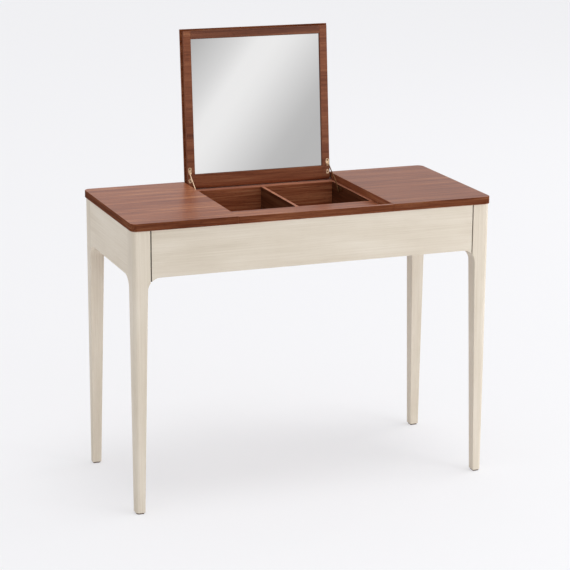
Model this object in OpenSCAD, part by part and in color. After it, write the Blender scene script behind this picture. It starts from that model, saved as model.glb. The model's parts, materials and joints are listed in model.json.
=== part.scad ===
// Flip top vanity table: a walnut top on a painted frame. The middle of the top is a lid that
// swings up on two side pins, carries a mirror underneath and covers a two-bay storage well.
// +Z is up, +X is the right-hand side seen from the front, +Y is the back.
// The table is drawn with its lid open. The origin is on the floor, midway across the width
// and midway between the front of the top and the rearmost edge of the open lid.

/* [Table] */
// Width of the table top
table_w = 1000; // [800:10:1200]
// Depth of the table top
table_d = 450; // [380:5:560]
// Height of the top surface above the floor
table_h = 775; // [600:5:850]
// Thickness of the top panels, which is also the depth of the recess for the lid
top_t = 20; // [16:0.5:28]
// How far the top stands out past the legs
top_overhang = 4; // [0:0.5:10]
// Plan radius of the four corners of the top
top_corner_r = 18; // [3:1:40]

/* [Storage well] */
// Width of the gap between the two top panels, which the lid fills
centre_w = 430; // [300:5:600]
// Front-to-back thickness of the lip in front of the lid
lip_t = 13; // [8:0.5:20]
// How far the lip's upper face lies below the top surface
lip_drop = 1; // [0:0.5:4]
// Thickness of the two ledges that the lid lies over
ledge_t = 12; // [8:0.5:18]
// How far each ledge reaches under the top panels
ledge_lap = 25; // [16:1:40]
// Distance from the front edge of the top to the well
well_front = 143; // [80:1:200]
// Room between the back wall of the well and the back apron
well_back_room = 6; // [2:0.5:40]
// Width of the strip of side wall that shows beside the well
well_side = 7; // [6:0.5:20]
// Clear depth of the well below the ledges
well_depth = 85; // [60:1:100]
// Thickness of the side walls of the well
side_wall_t = 14; // [12:0.5:22]
// Thickness of the front and back walls of the well
end_wall_t = 12; // [9:0.5:18]
// Thickness of the divider between the two bays
divider_t = 9; // [6:0.5:18]
// Thickness of the well's floor
floor_t = 6; // [3:0.5:10]

/* [Lid] */
// Angle by which the open lid leans back past upright
lid_lean = 5; // [0:0.5:15]
// Gap between the lid and the top panels, and between the lid and the lip
lid_gap = 1; // [0.5:0.1:3]
// Gap between the closed lid and the ledges
ledge_gap = 0.6; // [0.3:0.1:2]
// How far the lid's rounded back edge lies inside the back edge of the top
hinge_inset = 0.3; // [0:0.1:5]
// Thickness of the lid's outer panel
skin_t = 6; // [4:0.5:6.5]
// How far the mirror frame is set in from the edges of the outer panel
frame_inset = 5; // [0:0.5:8]
// Width of the side stiles and of the top rail
stile_w = 21; // [18:0.5:40]
// Height of the hinge rail above the hinge axis
hinge_rail_h = 30; // [22:0.5:60]
// Thickness of the board behind the mirror
backing_t = 4; // [2:0.5:5]
// Thickness of the mirror glass
glass_t = 4; // [3:0.5:5]
// Gap between the mirror and its frame
glass_gap = 0.3; // [0.1:0.1:1]
// Radius of the two hinge pins
hinge_pin_r = 2.5; // [2:0.1:3]
// Length of each hinge pin inside the top panel
hinge_pin_in_top = 14; // [8:1:30]
// Length of each hinge pin inside the stile
hinge_pin_in_stile = 15; // [8:1:17]

/* [Lid stays] */
// Width of the leaf let into each stile
leaf_w = 9; // [8:0.5:10]
// Thickness of the leaf and of the hinge plate
leaf_t = 1.6; // [1:0.1:2.5]
// Height of the leaf's upper end above the hinge axis
leaf_high = 50.5; // [50:0.5:80]
// Height of the stay pivot above the hinge axis, where the leaf's lower end is rounded
pivot_up = 34; // [34:0.5:37]
// Width of the hinge plate let into each stile below the leaf
plate_w = 8; // [6:0.5:9]
// Height of the hinge plate's lower end above the hinge axis
plate_low = 7; // [4:0.5:8]
// Height of the hinge plate's upper end above the hinge axis
plate_high = 20; // [18:0.5:24]
// Distance of the stay pivot from the face of the stile
pivot_out = 4.5; // [4.2:0.1:6]
// Radius of the stay pivot pin
pivot_r = 1.4; // [1:0.1:1.5]
// Thickness of the lug that carries the stay pivot
lug_t = 1.8; // [1.2:0.1:2.5]
// Thickness of the stay arm
arm_t = 1.6; // [1.2:0.1:2.5]
// Width of the stay arm
arm_w = 4; // [3.5:0.5:5]
// Length of the straight part of the stay arm
arm_straight = 68; // [50:1:80]
// Length of the bent end of the stay arm
arm_end = 30; // [10:1:40]
// Angle of the stay arm's bent end
arm_bend = 15; // [0:1:25]
// Gap between the stay arm and what lies on either side of it
arm_gap = 0.4; // [0.2:0.1:0.6]
// Distance of the stay bracket's stud from the back edge of the top
stud_back = 97; // [80:1:120]
// Distance of the stay bracket's stud below the top surface
stud_drop = 30; // [28:0.5:40]
// Length of the stay bracket
bracket_l = 34; // [26:1:50]
// Height of the stay bracket
bracket_h = 10; // [8:0.5:14]
// Thickness of the stay bracket
bracket_t = 1.2; // [0.8:0.1:1.4]

/* [Frame] */
// Width of each leg where the aprons meet it
leg_top_w = 46; // [44:1:60]
// Width of each leg just under the arch
leg_neck_w = 39; // [34:1:44]
// Width of each leg at the foot
leg_foot_w = 25; // [20:1:34]
// Radius of the legs' outer corner
leg_corner_r = 11; // [2:0.5:14]
// Height of the aprons below the underside of the top
apron_h = 124; // [122:1:180]
// Thickness of the aprons
apron_t = 18; // [15:0.5:24]
// Radius of the arches between aprons and legs
arch_r = 34; // [20:1:50]
// Width of the groove between the front apron and the front legs
groove_w = 3; // [1:0.5:5]
// Depth of the groove between the front apron and the front legs
groove_deep = 5; // [1:0.5:6]
// Thickness of the pads under the feet
pad_t = 3.5; // [2:0.5:8]
// How far the pads are set in from the edges of the feet
pad_inset = 3; // [1:0.5:5]

/* [Fixings] */
// Length of a corner block along each apron
block_l = 70; // [60:1:90]
// Height of the corner blocks
block_h = 50; // [40:1:55]
// Radius of the hanger bolts
bolt_r = 4; // [3:0.5:5]
// Length of a hanger bolt inside the leg
bolt_in_leg = 34; // [20:1:40]
// Length of a hanger bolt past its nut
bolt_tail = 6; // [3:1:12]
// Height of the hanger nuts
nut_h = 6.5; // [4:0.5:8]
// Thickness of the hanger washers
washer_t = 1.6; // [1:0.1:3]
// Radius of the dowels
dowel_r = 4; // [3:0.5:5]
// Length of the dowels
dowel_l = 36; // [24:1:44]
// Shank radius of the screws that hold the top
screw_r = 2; // [1.5:0.1:2.5]
// Depth of the screws inside the top panels
screw_bite = 12; // [8:0.5:14]

/* [Hidden] */

// Roundness of the curved faces
$fn = 48;
// A little more than a cut needs, so that it passes right through
slip = 1;
// Radial play of a fixed shank in its hole
hole_fit = 0.02;
// Radial play of a pin that turns in its hole
turn_fit = 0.05;
// Play between the end of a hinge pin and the bottom of its hole in the lid
pin_end_play = 0.3;
LEFT = -1;
RIGHT = 1;
FRONT = -1;
BACK = 1;

walnut = [0.45, 0.28, 0.22];
dark_walnut = [0.30, 0.18, 0.14];
cream = [0.86, 0.81, 0.73];
brass = [0.85, 0.70, 0.50];
steel = [0.65, 0.66, 0.68];

// Half sizes of the top and of the frame under it
half_w = table_w / 2;
half_d = table_d / 2;
frame_x = half_w - top_overhang;
frame_y = half_d - top_overhang;

// Heights
under_top = table_h - top_t;
under_ledge = under_top - ledge_t;
well_bottom = under_top - well_depth;
apron_low = under_top - apron_h;
arch_z = apron_low - arch_r;

// Lid, in its own frame: y runs from the hinge axis to the free edge, z out of the mirror
lid_t = top_t - ledge_gap;
lid_half_t = lid_t / 2;
lid_half_w = centre_w / 2 - lid_gap;
hinge_y = half_d - hinge_inset - lid_half_t;
hinge_z = table_h - lid_half_t;
lid_end = hinge_y + half_d - lip_t - lid_gap;
frame_end = lid_end - frame_inset;
frame_half_w = lid_half_w - frame_inset;
mirror_half_w = frame_half_w - stile_w;
mirror_end = frame_end - stile_w;
skin_inner = skin_t - lid_half_t;
glass_low = skin_inner + backing_t;
lid_turn = 90 - lid_lean;

// How far the open lid leans out past the back edge of the top
lid_reach = hinge_y + lid_end * cos(lid_turn) + lid_half_t * sin(lid_turn) - half_d;

// Storage well and the ledges round it
well_half_w = centre_w / 2 - well_side;
wall_out = well_half_w + side_wall_t;
ledge_half_w = centre_w / 2 + ledge_lap;
lip_y = -half_d + lip_t;
well_y0 = -half_d + well_front;
well_y1 = frame_y - apron_t - well_back_room - end_wall_t;

// Lid stays: each arm lies between the bracket's screw heads and the lug of the leaf
stud_h = 0.8;
arm_out = well_half_w - bracket_t - stud_h - arm_gap;
arm_in = arm_out - arm_t;
lug_out = arm_in - arm_gap;
lug_in = lug_out - lug_t;
lug_r = arm_w / 2 + 0.75;
leaf_x = (lug_in + lug_out) / 2;
pivot_n = lid_half_t + pivot_out;
pivot_y = hinge_y + pivot_up * cos(lid_turn) - pivot_n * sin(lid_turn);
pivot_z = hinge_z + pivot_up * sin(lid_turn) + pivot_n * cos(lid_turn);
pivot_head_r = pivot_r + 1;
pivot_head_h = 0.8;
stud_y = half_d - stud_back;
stud_z = table_h - stud_drop;
stud_r = 2.2;
arm_angle = atan2(stud_z - pivot_z, stud_y - pivot_y);

// Leaf and hinge plate, each with one screw, by their heights above the hinge axis
leaf_low = pivot_up - leaf_w / 2;
leaf_screw_up = leaf_high - leaf_w / 2;
plate_screw_up = (plate_low + plate_high) / 2;

// Small screws of the stays, and their distance from the bracket's middle
small_screw_r = 1.2;
small_head_r = 2.2;
small_screw_l = 8;
bracket_screw_step = bracket_l / 2 - 6;

// Frame: inner faces of the legs and of the aprons, and the arches between them
leg_in_x = frame_x - leg_top_w;
leg_in_y = frame_y - leg_top_w;
apron_in_x = frame_x - apron_t;
apron_in_y = frame_y - apron_t;
arch_in = leg_neck_w + arch_r;

// Frame fixings
block_low = under_top - block_h;
bolt_z = under_top - block_h / 2;
bolt_in_block = (leg_in_y + block_l - apron_in_y) / sqrt(2);
washer_r = bolt_r * 2.2;
nut_r = bolt_r * 1.9;
dowel_zs = [apron_low + apron_h * 0.2, apron_low + apron_h * 0.56];
screw_head_r = screw_r * 1.9;
screw_head_h = screw_r * 1.2;
top_screw_x = leg_in_x - block_l * 0.57;
top_screw_y = apron_in_y - 13;
ledge_screw_x = (wall_out + ledge_half_w) / 2;
ledge_screw_ys = [15 - apron_in_y, well_y0 - 28, (well_y1 + apron_in_y) / 2];

// ---------------------------------------------------------------- helpers

// Everything is drawn about the middle of the table top and then moved to the origin
module table_place() {
    translate([0, -lid_reach / 2, 0])
        children();
}

// Moves the lid's own frame to the hinge and turns it to the open position
module lid_place() {
    table_place()
        translate([0, hinge_y, hinge_z])
            rotate([lid_turn, 0, 0])
                children();
}

// A box from its lowest corner to its highest corner
module block(low, high) {
    translate(low)
        cube(high - low);
}

// A cylinder along X, from one x to another
module rod_x(x0, x1, y, z, r) {
    translate([min(x0, x1), y, z])
        rotate([0, 90, 0])
            cylinder(r = r, h = abs(x1 - x0));
}

// Mirrors what is drawn on the right-hand side to the given side
module to_side(side) {
    mirror([side == LEFT ? 1 : 0, 0, 0])
        children();
}

// Mirrors what is drawn at the right-hand back corner to the given corner
module to_corner(side, end) {
    to_side(side)
        mirror([0, end == FRONT ? 1 : 0, 0])
            children();
}

// Draws its children at all four corners of the table
module at_corners() {
    for (side = [LEFT, RIGHT], end = [FRONT, BACK])
        to_corner(side, end)
            children();
}

// A square whose far corner is rounded
module one_round_square(size, r) {
    difference() {
        square(size);
        translate([size - r, size - r])
            square(r + slip);
    }
    translate([size - r, size - r])
        circle(r);
}

// ---------------------------------------------------------------- table top

// Plan of the right-hand top panel
module panel_outline() {
    straight = half_w - top_corner_r;
    translate([centre_w / 2, -half_d])
        square([straight - centre_w / 2, table_d]);
    translate([centre_w / 2, top_corner_r - half_d])
        square([half_w - centre_w / 2, table_d - 2 * top_corner_r]);
    for (end = [FRONT, BACK])
        translate([straight, end * (half_d - top_corner_r)])
            circle(top_corner_r);
}

// One of the two top panels, with the holes for its screws and for the hinge pin
module top_panel(side) {
    color(walnut)
        table_place()
            to_side(side)
                difference() {
                    translate([0, 0, under_top])
                        linear_extrude(top_t)
                            panel_outline();
                    rod_x(centre_w / 2 - slip, centre_w / 2 + hinge_pin_in_top,
                          hinge_y, hinge_z, hinge_pin_r + hole_fit);
                    for (end = [FRONT, BACK])
                        translate([top_screw_x, end * top_screw_y, under_top - slip])
                            cylinder(r = screw_r + hole_fit, h = screw_bite + slip);
                    for (y = ledge_screw_ys)
                        translate([ledge_screw_x, y, under_top - slip])
                            cylinder(r = screw_r + hole_fit, h = screw_bite + slip);
                }
}

module left_top_panel() {
    top_panel(LEFT);
}

module right_top_panel() {
    top_panel(RIGHT);
}

// The lip that closes the recess at the front
module front_lip() {
    color(walnut)
        table_place()
            block([-centre_w / 2, -half_d, under_top], [centre_w / 2, lip_y, table_h - lip_drop]);
}

// A ledge from one y to another, with holes for the screws that pass up into the panels
module ledge(y0, y1) {
    color(walnut)
        table_place()
            difference() {
                block([-ledge_half_w, y0, under_ledge], [ledge_half_w, y1, under_top]);
                for (side = [LEFT, RIGHT], y = ledge_screw_ys)
                    translate([side * ledge_screw_x, y, under_ledge - slip])
                        cylinder(r = screw_r + hole_fit, h = ledge_t + 2 * slip);
            }
}

module front_ledge() {
    ledge(lip_y, well_y0);
}

module back_ledge() {
    ledge(well_y1, half_d);
}

// ---------------------------------------------------------------- storage well

// One of the two side walls, with pilot holes for the stay bracket's screws
module side_wall(side) {
    color(dark_walnut)
        table_place()
            to_side(side)
                difference() {
                    block([well_half_w, well_y0, well_bottom], [wall_out, well_y1, under_top]);
                    for (step = [-bracket_screw_step, bracket_screw_step])
                        rod_x(well_half_w - slip, well_half_w + small_screw_l,
                              stud_y + step, stud_z, small_screw_r + hole_fit);
                }
}

module well_left_wall() {
    side_wall(LEFT);
}

module well_right_wall() {
    side_wall(RIGHT);
}

// A front or back wall that starts at the given y and hangs under its ledge
module end_wall(y0) {
    color(dark_walnut)
        table_place()
            block([-wall_out, y0, well_bottom], [wall_out, y0 + end_wall_t, under_ledge]);
}

module well_front_wall() {
    end_wall(well_y0 - end_wall_t);
}

module well_back_wall() {
    end_wall(well_y1);
}

module well_divider() {
    color(dark_walnut)
        table_place()
            block([-divider_t / 2, well_y0, well_bottom], [divider_t / 2, well_y1, under_top]);
}

module well_floor() {
    color(dark_walnut)
        table_place()
            block([-wall_out, well_y0 - end_wall_t, well_bottom - floor_t],
                  [wall_out, well_y1 + end_wall_t, well_bottom]);
}

// ---------------------------------------------------------------- legs and aprons

// Outline of a leg seen from the front or from the side, with its outer face at x = 0
module leg_outline() {
    difference() {
        polygon([[0, pad_t], [-leg_foot_w, pad_t], [-leg_neck_w, arch_z], [-leg_top_w, arch_z],
                 [-leg_top_w, under_top], [0, under_top]]);
        translate([-arch_in, arch_z])
            circle(arch_r);
    }
}

// A leg: its front view, its side view and its rounded plan taken together
module leg(side, end) {
    color(cream)
        table_place()
            to_corner(side, end)
                difference() {
                    intersection() {
                        translate([frame_x, frame_y, 0])
                            rotate([90, 0, 0])
                                linear_extrude(leg_top_w)
                                    leg_outline();
                        translate([leg_in_x, frame_y, 0])
                            rotate([90, 0, 90])
                                linear_extrude(leg_top_w)
                                    leg_outline();
                        translate([leg_in_x, leg_in_y, 0])
                            linear_extrude(under_top)
                                one_round_square(leg_top_w, leg_corner_r);
                    }
                    dowel_pair_x(hole_fit, slip);
                    dowel_pair_y(hole_fit, slip);
                    corner_bolt(bolt_r + hole_fit, -bolt_in_leg, slip);
                }
}

module front_left_leg() {
    leg(LEFT, FRONT);
}

module front_right_leg() {
    leg(RIGHT, FRONT);
}

module back_left_leg() {
    leg(LEFT, BACK);
}

module back_right_leg() {
    leg(RIGHT, BACK);
}

// Outline of an apron that runs between two legs, whose ends turn down into the arches
module apron_outline(leg_in, frame_out) {
    arch_x = frame_out - arch_in;
    difference() {
        translate([-leg_in, arch_z])
            square([2 * leg_in, under_top - arch_z]);
        translate([-arch_x, arch_z - slip])
            square([2 * arch_x, arch_r + slip]);
        for (side = [LEFT, RIGHT])
            translate([side * arch_x, arch_z])
                circle(arch_r);
    }
}

// The front apron: grooved beside the legs and cut back behind the lip for the front ledge
module front_apron() {
    color(cream)
        table_place()
            difference() {
                translate([0, -apron_in_y, 0])
                    rotate([90, 0, 0])
                        linear_extrude(apron_t)
                            apron_outline(leg_in_x, frame_x);
                block([-ledge_half_w, lip_y, under_ledge],
                      [ledge_half_w, slip - apron_in_y, under_top + slip]);
                for (side = [LEFT, RIGHT])
                    to_corner(side, FRONT) {
                        block([leg_in_x - groove_w, frame_y - groove_deep, arch_z - slip],
                              [leg_in_x + slip, frame_y + slip, under_top + slip]);
                        dowel_pair_x(hole_fit, slip);
                    }
            }
}

// The back apron, cut down along the middle to carry the back ledge
module back_apron() {
    color(cream)
        table_place()
            difference() {
                translate([0, frame_y, 0])
                    rotate([90, 0, 0])
                        linear_extrude(apron_t)
                            apron_outline(leg_in_x, frame_x);
                block([-ledge_half_w, apron_in_y - slip, under_ledge],
                      [ledge_half_w, frame_y + slip, under_top + slip]);
                for (side = [LEFT, RIGHT])
                    to_corner(side, BACK)
                        dowel_pair_x(hole_fit, slip);
            }
}

// A side apron, flush with the outer faces of its two legs
module side_apron(side) {
    color(cream)
        table_place()
            to_side(side)
                difference() {
                    translate([apron_in_x, 0, 0])
                        rotate([90, 0, 90])
                            linear_extrude(apron_t)
                                apron_outline(leg_in_y, frame_y);
                    for (end = [FRONT, BACK])
                        to_corner(RIGHT, end)
                            dowel_pair_y(hole_fit, slip);
                }
}

module left_apron() {
    side_apron(LEFT);
}

module right_apron() {
    side_apron(RIGHT);
}

// ---------------------------------------------------------------- frame fixings

// The two dowels between a leg and the front or back apron, at the right-hand back corner
module dowel_pair_x(extra_r, extra_l) {
    for (z = dowel_zs)
        rod_x(leg_in_x - (dowel_l + extra_l) / 2, leg_in_x + (dowel_l + extra_l) / 2,
              frame_y - apron_t / 2, z, dowel_r + extra_r);
}

// The two dowels between a leg and its side apron, at the right-hand back corner
module dowel_pair_y(extra_r, extra_l) {
    for (z = dowel_zs)
        translate([frame_x - apron_t / 2, leg_in_y + (dowel_l + extra_l) / 2, z])
            rotate([90, 0, 0])
                cylinder(r = dowel_r + extra_r, h = dowel_l + extra_l);
}

module apron_dowels() {
    color(walnut)
        table_place()
            at_corners() {
                dowel_pair_x(0, 0);
                dowel_pair_y(0, 0);
            }
}

// A cylinder on the axis of a hanger bolt, from one distance to another, both measured
// from the inner edge of the right-hand back leg towards the middle of the table
module corner_bolt(r, from, to) {
    translate([leg_in_x, leg_in_y, bolt_z])
        rotate([0, 90, 225])
            translate([0, 0, from])
                cylinder(r = r, h = to - from);
}

// Blocks that fill the corners behind the legs, each with a bolt hole and a screw hole
module corner_blocks() {
    diagonal_y = apron_in_y - (apron_in_x - leg_in_x) - block_l;
    color(cream)
        table_place()
            at_corners()
                difference() {
                    translate([0, 0, block_low])
                        linear_extrude(block_h)
                            polygon([[leg_in_x - block_l, apron_in_y], [leg_in_x, apron_in_y],
                                     [leg_in_x, leg_in_y], [apron_in_x, leg_in_y],
                                     [apron_in_x, diagonal_y]]);
                    corner_bolt(bolt_r + hole_fit, -bolt_in_leg, bolt_in_block + slip);
                    translate([top_screw_x, top_screw_y, block_low - slip])
                        cylinder(r = screw_r + hole_fit, h = block_h + 2 * slip);
                }
}

module hanger_bolts() {
    color(steel)
        table_place()
            at_corners()
                corner_bolt(bolt_r, -bolt_in_leg, bolt_in_block + washer_t + nut_h + bolt_tail);
}

module hanger_washers() {
    color(steel)
        table_place()
            at_corners()
                difference() {
                    corner_bolt(washer_r, bolt_in_block, bolt_in_block + washer_t);
                    corner_bolt(bolt_r + hole_fit, 0, bolt_in_block + washer_t + slip);
                }
}

module hanger_nuts() {
    nut_low = bolt_in_block + washer_t;
    color(steel)
        table_place()
            at_corners()
                difference() {
                    corner_bolt(nut_r, nut_low, nut_low + nut_h, $fn = 6);
                    corner_bolt(bolt_r + hole_fit, nut_low - slip, nut_low + nut_h + slip);
                }
}

// A screw that points up: its head lies under the given height
module up_screw(x, y, low, high) {
    translate([x, y, low])
        cylinder(r = screw_r, h = high - low);
    translate([x, y, low - screw_head_h])
        cylinder(r = screw_head_r, h = screw_head_h);
}

// Screws from the corner blocks into the top panels
module top_screws() {
    color(steel)
        table_place()
            at_corners()
                up_screw(top_screw_x, top_screw_y, block_low, under_top + screw_bite);
}

// Screws from the ledges into the top panels
module ledge_screws() {
    color(steel)
        table_place()
            for (side = [LEFT, RIGHT], y = ledge_screw_ys)
                up_screw(side * ledge_screw_x, y, under_ledge, under_top + screw_bite);
}

module foot_pads() {
    pad_w = leg_foot_w - 2 * pad_inset;
    color(dark_walnut)
        table_place()
            at_corners()
                translate([frame_x - pad_inset - pad_w, frame_y - pad_inset - pad_w, 0])
                    linear_extrude(pad_t)
                        one_round_square(pad_w, leg_corner_r - pad_inset);
}

// ---------------------------------------------------------------- lid

// Pins fixed in the ends of the top panels, on which the lid turns
module hinge_pins() {
    color(brass)
        table_place()
            for (side = [LEFT, RIGHT])
                rod_x(side * (frame_half_w - hinge_pin_in_stile),
                      side * (centre_w / 2 + hinge_pin_in_top), hinge_y, hinge_z, hinge_pin_r);
}

// What the lid may fill: a slab whose edge at the hinge is fully rounded
module lid_envelope() {
    block([-lid_half_w, 0, -lid_half_t], [lid_half_w, lid_end, lid_half_t]);
    rod_x(-lid_half_w, lid_half_w, 0, 0, lid_half_t);
}

module lid_panel() {
    color(walnut)
        lid_place()
            intersection() {
                lid_envelope();
                block([-lid_half_w - slip, -lid_t, -lid_t], [lid_half_w + slip, table_d, skin_inner]);
            }
}

// A side stile, bored for the hinge pin and cut for the two plates and their screws
module stile(side) {
    color(walnut)
        lid_place()
            to_side(side)
                difference() {
                    intersection() {
                        lid_envelope();
                        block([mirror_half_w, -lid_t, skin_inner], [frame_half_w, frame_end, lid_t]);
                    }
                    rod_x(frame_half_w - hinge_pin_in_stile - pin_end_play, frame_half_w + slip,
                          0, 0, hinge_pin_r + turn_fit);
                    let_in_plate(leaf_w, leaf_low, leaf_high, slip);
                    let_in_plate(plate_w, plate_low, plate_high, slip);
                    leaf_screw_pair(hole_fit, slip);
                }
}

module lid_left_stile() {
    stile(LEFT);
}

module lid_right_stile() {
    stile(RIGHT);
}

module lid_top_rail() {
    color(walnut)
        lid_place()
            block([-mirror_half_w, mirror_end, skin_inner], [mirror_half_w, frame_end, lid_half_t]);
}

module lid_hinge_rail() {
    color(walnut)
        lid_place()
            intersection() {
                lid_envelope();
                block([-mirror_half_w, -lid_t, skin_inner], [mirror_half_w, hinge_rail_h, lid_t]);
            }
}

// A sheet that fits the opening of the mirror frame with the given gap all round
module mirror_sheet(low, high, gap) {
    block([gap - mirror_half_w, hinge_rail_h + gap, low],
          [mirror_half_w - gap, mirror_end - gap, high]);
}

module mirror_backing() {
    color(dark_walnut)
        lid_place()
            mirror_sheet(skin_inner, glass_low, glass_gap);
}

module mirror_glass() {
    color("silver")
        lid_place()
            mirror_sheet(glass_low, glass_low + glass_t, glass_gap);
}

// ---------------------------------------------------------------- lid stays

// A plate with round ends between two heights, which rises above the stile's face by rise
module let_in_plate(width, low, high, rise) {
    end_r = width / 2;
    translate([leaf_x, 0, lid_half_t - leaf_t])
        linear_extrude(leaf_t + rise) {
            translate([-end_r, low + end_r])
                square([width, high - low - width]);
            for (up = [low + end_r, high - end_r])
                translate([0, up])
                    circle(end_r);
        }
}

// The countersunk screws of one stile, with the given play and drawn on above its face by rise
module leaf_screw_pair(play, rise) {
    slope = (small_head_r - small_screw_r) / leaf_t;
    for (up = [leaf_screw_up, plate_screw_up])
        translate([leaf_x, up, lid_half_t]) {
            translate([0, 0, -small_screw_l])
                cylinder(r = small_screw_r + play, h = small_screw_l - leaf_t / 2);
            translate([0, 0, -leaf_t])
                cylinder(r1 = small_screw_r + play, r2 = small_head_r + play + slope * rise,
                         h = leaf_t + rise);
        }
}

// A brass leaf let into the stile, with a lug that stands out and carries the arm's pin
module stay_leaf(side) {
    color(brass)
        lid_place()
            to_side(side)
                difference() {
                    union() {
                        let_in_plate(leaf_w, leaf_low, leaf_high, 0);
                        block([lug_in, pivot_up - lug_r, lid_half_t - leaf_t],
                              [lug_out, pivot_up + lug_r, pivot_n]);
                        rod_x(lug_in, lug_out, pivot_up, pivot_n, lug_r);
                    }
                    leaf_screw_pair(hole_fit, slip);
                    rod_x(lug_in - slip, lug_out + slip, pivot_up, pivot_n, pivot_r + hole_fit);
                }
}

module left_stay_leaf() {
    stay_leaf(LEFT);
}

module right_stay_leaf() {
    stay_leaf(RIGHT);
}

// Plates that strengthen the faces of the stiles in front of the hinge pins
module hinge_plates() {
    color(brass)
        lid_place()
            for (side = [LEFT, RIGHT])
                to_side(side)
                    difference() {
                        let_in_plate(plate_w, plate_low, plate_high, 0);
                        leaf_screw_pair(hole_fit, slip);
                    }
}

// The screws of both leaves and of the hinge plates, with their heads flush
module leaf_screws() {
    color(brass)
        lid_place()
            for (side = [LEFT, RIGHT])
                to_side(side)
                    leaf_screw_pair(0, 0);
}

// Headed pins that join the arms to the lugs
module stay_pins() {
    color(brass)
        lid_place()
            for (side = [LEFT, RIGHT])
                to_side(side) {
                    rod_x(lug_in, arm_out + arm_gap / 2, pivot_up, pivot_n, pivot_r);
                    rod_x(arm_out + arm_gap / 2, arm_out + arm_gap / 2 + pivot_head_h,
                          pivot_up, pivot_n, pivot_head_r);
                    rod_x(lug_in - pivot_head_h, lug_in, pivot_up, pivot_n, pivot_head_r);
                }
}

// Outline of a stay arm: an eye at the pivot, a straight bar and a bent end
module arm_outline() {
    difference() {
        union() {
            circle(lug_r);
            translate([0, -arm_w / 2])
                square([arm_straight, arm_w]);
            translate([arm_straight, 0])
                rotate(arm_bend)
                    translate([0, -arm_w / 2])
                        square([arm_end, arm_w]);
            translate([arm_straight, 0])
                circle(arm_w / 2);
            translate([arm_straight, 0])
                rotate(arm_bend)
                    translate([arm_end, 0])
                        circle(arm_w / 2);
        }
        circle(pivot_r + turn_fit);
    }
}

// A stay arm, which points from its pivot on the open lid to the stud of the bracket
module stay_arm(side) {
    color(brass)
        table_place()
            to_side(side)
                translate([arm_in, pivot_y, pivot_z])
                    rotate([arm_angle, 0, 0])
                        rotate([90, 0, 90])
                            linear_extrude(arm_t)
                                arm_outline();
}

module left_stay_arm() {
    stay_arm(LEFT);
}

module right_stay_arm() {
    stay_arm(RIGHT);
}

// A small plate with a stud, on the inner face of the well's side wall
module stay_bracket(side) {
    face_x = well_half_w - bracket_t;
    color(brass)
        table_place()
            to_side(side)
                difference() {
                    union() {
                        block([face_x, stud_y - bracket_l / 2, stud_z - bracket_h / 2],
                              [well_half_w, stud_y + bracket_l / 2, stud_z + bracket_h / 2]);
                        rod_x(face_x - stud_h, face_x, stud_y, stud_z, stud_r);
                    }
                    for (step = [-bracket_screw_step, bracket_screw_step])
                        rod_x(face_x - slip, well_half_w + slip,
                              stud_y + step, stud_z, small_screw_r + hole_fit);
                }
}

module left_stay_bracket() {
    stay_bracket(LEFT);
}

module right_stay_bracket() {
    stay_bracket(RIGHT);
}

// The screws of both brackets
module bracket_screws() {
    face_x = well_half_w - bracket_t;
    color(brass)
        table_place()
            for (side = [LEFT, RIGHT], step = [-bracket_screw_step, bracket_screw_step])
                to_side(side) {
                    rod_x(face_x, well_half_w + small_screw_l, stud_y + step, stud_z, small_screw_r);
                    rod_x(face_x - stud_h, face_x, stud_y + step, stud_z, small_head_r);
                }
}

left_top_panel();
right_top_panel();
front_lip();
front_ledge();
back_ledge();
well_left_wall();
well_right_wall();
well_front_wall();
well_back_wall();
well_divider();
well_floor();
front_left_leg();
front_right_leg();
back_left_leg();
back_right_leg();
front_apron();
back_apron();
left_apron();
right_apron();
corner_blocks();
hanger_bolts();
hanger_washers();
hanger_nuts();
apron_dowels();
top_screws();
ledge_screws();
foot_pads();
hinge_pins();
left_stay_bracket();
right_stay_bracket();
bracket_screws();
lid_panel();
lid_left_stile();
lid_right_stile();
lid_top_rail();
lid_hinge_rail();
mirror_backing();
mirror_glass();
left_stay_leaf();
right_stay_leaf();
hinge_plates();
leaf_screws();
stay_pins();
left_stay_arm();
right_stay_arm();
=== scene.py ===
# %% [markdown]
# # A flip top vanity table
# This table is a walnut top on a cream painted frame. The middle of the top is a lid with a
# mirror under it, and it stands open over a storage well with two bays. The solids come from
# the CAD frame at their real size, so this lesson is about their surfaces: soft edges, veneer,
# paint, brass and glass. Only the screws, dowels, bolts, washers and nuts are made anew.
# Everything is in metres, +X to the right, +Y to the back, +Z up.

# %% Load the frame
import json
import math

import bmesh
import bpy
import numpy as np
from mathutils import Matrix, Vector

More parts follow.
